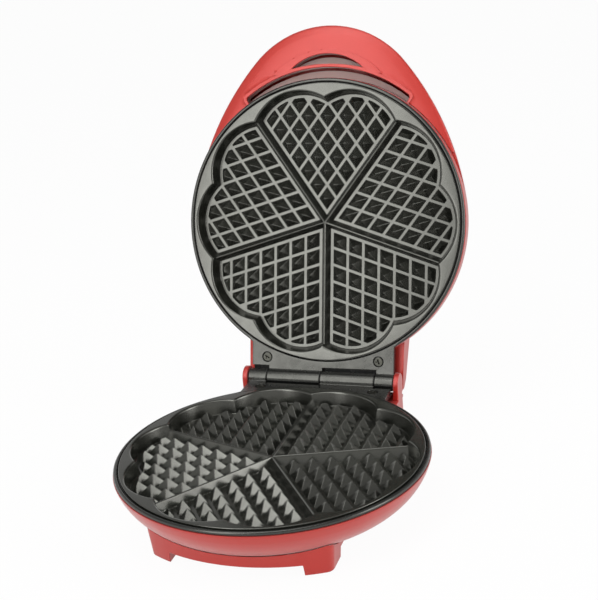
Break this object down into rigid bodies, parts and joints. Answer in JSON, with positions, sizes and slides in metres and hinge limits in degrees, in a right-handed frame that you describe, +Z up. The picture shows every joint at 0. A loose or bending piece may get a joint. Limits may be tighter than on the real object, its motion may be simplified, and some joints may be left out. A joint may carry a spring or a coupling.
{
  "type": "waffle maker",
  "caption": "Round electric waffle maker with heart-shaped waffle wells in two hinged plates, a red housing on short legs and a rounded front handle.",
  "frame": {"origin": "on the table, straight below the centre of the lower baking plate", "axes": "+Z up, +Y towards the hinge at the rear, +X to the right seen from the front"},
  "size_m": [0.207, 0.3165, 0.2831],
  "materials": {
    "red_housing": "moulded plastic in satin metallic red",
    "black_frame": "moulded black heat-resistant plastic, satin",
    "nonstick_plate": "die-cast aluminium with a dark satin non-stick coat",
    "bright_screw": "nickel-plated steel",
    "zinc_screw": "zinc-plated steel",
    "sheet_steel": "plain sheet steel",
    "heater_tube": "oxidised steel sheath",
    "reflector_sheet": "plain aluminium sheet",
    "foot_rubber": "black rubber",
    "thermostat_case": "pressed aluminium case",
    "ceramic": "unglazed ceramic",
    "lead_sleeve": "woven glass sleeve",
    "black_gland": "moulded black plastic",
    "pin_steel": "drawn steel rod",
    "grey_shield": "moulded grey heat-resistant plastic",
    "lamp_board": "phenolic board",
    "lamp_glass": "clear glass",
    "red_lens": "clear red plastic",
    "green_lens": "clear green plastic"
  },
  "bodies": {
    "base": {"base_bowl": "red_housing", "base_stand": "red_housing", "foot_pads": "foot_rubber", "stand_screws": "zinc_screw", "thermostat": "thermostat_case", "thermostat_screws": "zinc_screw", "thermal_fuse": "zinc_screw", "fuse_clip": "sheet_steel", "terminal_block": "ceramic", "base_leads": "lead_sleeve", "cord_gland": "black_gland", "hinge_pin": "pin_steel", "lower_plate": "nonstick_plate", "lower_plate_rim": "nonstick_plate", "lower_frame": "black_frame", "lower_frame_screws": "bright_screw", "lower_heater": "heater_tube", "lower_heater_clamps": "sheet_steel", "lower_clamp_screws": "zinc_screw", "lower_plate_brackets": "sheet_steel", "lower_bracket_screws": "zinc_screw", "lower_reflector": "reflector_sheet", "lower_reflector_screws": "zinc_screw"},
    "lid": {"lid_shell": "red_housing", "handle_cover": "red_housing", "handle_shield": "grey_shield", "shield_screws": "zinc_screw", "lamp_holder": "lamp_board", "holder_screws": "zinc_screw", "neon_lamps": "lamp_glass", "lid_terminal_block": "ceramic", "lid_leads": "lead_sleeve", "power_lens": "red_lens", "ready_lens": "green_lens", "upper_plate": "nonstick_plate", "upper_plate_rim": "nonstick_plate", "upper_frame": "black_frame", "upper_frame_screws": "bright_screw", "upper_heater": "heater_tube", "upper_heater_clamps": "sheet_steel", "upper_clamp_screws": "zinc_screw", "upper_plate_brackets": "sheet_steel", "upper_bracket_screws": "zinc_screw", "upper_reflector": "reflector_sheet", "upper_reflector_screws": "zinc_screw"}
  },
  "joints": [
    {"name": "lid_hinge", "type": "hinge", "parent": "base", "child": "lid", "pos_m": [0, 0.1135, 0.042], "axis": [1, 0, 0], "range_deg": [0, 106.27]}
  ]
}
